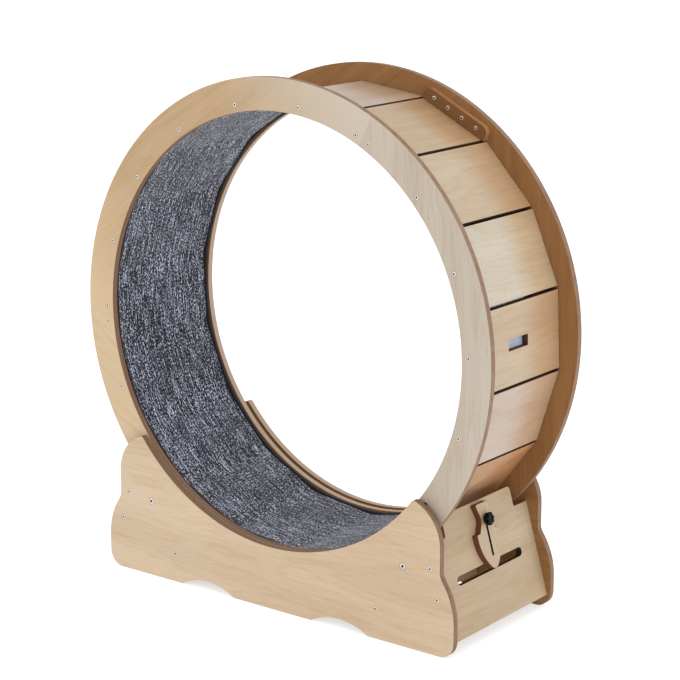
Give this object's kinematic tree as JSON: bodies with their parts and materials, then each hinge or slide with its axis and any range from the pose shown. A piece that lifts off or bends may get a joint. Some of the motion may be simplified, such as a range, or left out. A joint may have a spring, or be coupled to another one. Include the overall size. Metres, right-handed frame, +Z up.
{
  "type": "cat exercise wheel",
  "caption": "Large upright wooden running wheel for a cat: a drum of boards between two rings, lined with grey carpet, on rollers in a low shaped base with a sliding brake plate.",
  "frame": {"origin": "on the floor, under the middle of the whole wheel and base", "axes": "+X to the right (the brake's side), +Y to the back along the wheel's axle line, +Z up"},
  "size_m": [0.91, 0.3236, 0.967],
  "materials": {
    "birch_board": "clear satin lacquer",
    "grey_carpet": "looped pile",
    "nickel_steel": "nickel plated",
    "bearing_steel": "polished",
    "white_nylon": "matte",
    "black_plastic": "satin",
    "brass_insert": "turned"
  },
  "bodies": {
    "base": {"front_side_panel": "birch_board", "rear_side_panel": "birch_board", "left_end_board": "birch_board", "right_end_board": "birch_board", "left_cross_rail": "birch_board", "right_cross_rail": "birch_board", "base_screws_front": "nickel_steel", "base_screws_rear": "nickel_steel", "roller_axle_bolts": "nickel_steel", "roller_spacers": "nickel_steel", "roller_lock_nuts": "nickel_steel", "brake_bolt": "nickel_steel", "brake_washer": "nickel_steel"},
    "wheel": {"front_ring_segment_1": "birch_board", "front_ring_segment_2": "birch_board", "front_ring_segment_3": "birch_board", "rear_ring_segment_1": "birch_board", "rear_ring_segment_2": "birch_board", "rear_ring_segment_3": "birch_board", "running_board_01": "birch_board", "running_board_02": "birch_board", "running_board_03": "birch_board", "running_board_04": "birch_board", "running_board_05": "birch_board", "running_board_06": "birch_board", "running_board_07": "birch_board", "running_board_08": "birch_board", "running_board_09": "birch_board", "running_board_10": "birch_board", "running_board_11": "birch_board", "running_board_12": "birch_board", "running_board_13": "birch_board", "running_board_14": "birch_board", "running_board_15": "birch_board", "running_board_16": "birch_board", "running_board_17": "birch_board", "running_board_18": "birch_board", "front_splice_plate_1": "birch_board", "front_splice_plate_2": "birch_board", "front_splice_plate_3": "birch_board", "rear_splice_plate_1": "birch_board", "rear_splice_plate_2": "birch_board", "rear_splice_plate_3": "birch_board", "carpet": "grey_carpet", "ring_screws_front": "nickel_steel", "ring_screws_rear": "nickel_steel", "splice_screws_front": "nickel_steel", "splice_screws_rear": "nickel_steel"},
    "roller_front_left": {"roller_tyre_front_left": "white_nylon", "roller_bearing_front_left": "bearing_steel"},
    "roller_front_right": {"roller_tyre_front_right": "white_nylon", "roller_bearing_front_right": "bearing_steel"},
    "roller_rear_left": {"roller_tyre_rear_left": "white_nylon", "roller_bearing_rear_left": "bearing_steel"},
    "roller_rear_right": {"roller_tyre_rear_right": "white_nylon", "roller_bearing_rear_right": "bearing_steel"},
    "brake": {"brake_plate": "birch_board"},
    "knob": {"brake_knob": "black_plastic", "knob_insert": "brass_insert"}
  },
  "joints": [
    {"name": "wheel_spin", "type": "hinge", "parent": "base", "child": "wheel", "pos_m": [0, 0, 0.512], "axis": [0, 1, 0], "continuous": true},
    {"name": "roller_front_left_spin", "type": "hinge", "parent": "base", "child": "roller_front_left", "pos_m": [-0.292, -0.137, 0.1475], "axis": [0, 1, 0], "continuous": true},
    {"name": "roller_front_right_spin", "type": "hinge", "parent": "base", "child": "roller_front_right", "pos_m": [0.292, -0.137, 0.1475], "axis": [0, 1, 0], "continuous": true},
    {"name": "roller_rear_left_spin", "type": "hinge", "parent": "base", "child": "roller_rear_left", "pos_m": [-0.292, 0.137, 0.1475], "axis": [0, 1, 0], "continuous": true},
    {"name": "roller_rear_right_spin", "type": "hinge", "parent": "base", "child": "roller_rear_right", "pos_m": [0.292, 0.137, 0.1475], "axis": [0, 1, 0], "continuous": true},
    {"name": "brake_slide", "type": "slide", "parent": "base", "child": "brake", "axis": [-0.279, 0, 0.9603], "range_m": [0, 0.018]},
    {"name": "knob_turn", "type": "hinge", "parent": "base", "child": "knob", "pos_m": [0.36208, 0, 0.20482], "axis": [0.9603, 0, 0.279], "range_deg": [0, 360]}
  ],
  "couplings": [
    {"joint": "roller_front_left_spin", "follows": "wheel_spin", "ratio": -38.889},
    {"joint": "roller_front_right_spin", "follows": "wheel_spin", "ratio": -38.889},
    {"joint": "roller_rear_left_spin", "follows": "wheel_spin", "ratio": -38.889},
    {"joint": "roller_rear_right_spin", "follows": "wheel_spin", "ratio": -38.889}
  ]
}
